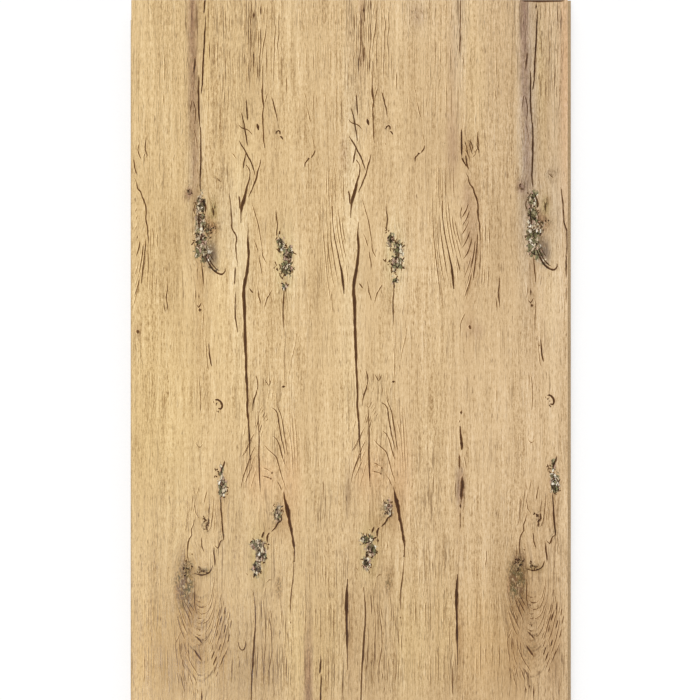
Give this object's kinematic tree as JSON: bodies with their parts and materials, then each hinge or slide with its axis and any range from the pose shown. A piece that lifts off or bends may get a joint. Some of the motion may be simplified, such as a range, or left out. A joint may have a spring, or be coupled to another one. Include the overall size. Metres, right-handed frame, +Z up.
{
  "type": "laminate floor plank",
  "caption": "Long flat floor plank with a light knotty oak decor face and a milled click joint along its sides and ends.",
  "frame": {"origin": "middle of the decor face's rectangle, on the underside", "axes": "+Y along the plank towards its tongued end, +X across it towards the long tongue, +Z up out of the decor face"},
  "size_m": [0.1995, 1.2917, 0.008],
  "materials": {
    "oak_decor": "satin melamine overlay with a brushed oak grain",
    "fibreboard": "milled high density fibreboard",
    "backing_paper": "smooth resin-filled paper"
  },
  "bodies": {
    "root": {"decor_layer": "oak_decor", "hdf_core": "fibreboard", "backing_layer": "backing_paper"}
  },
  "joints": []
}
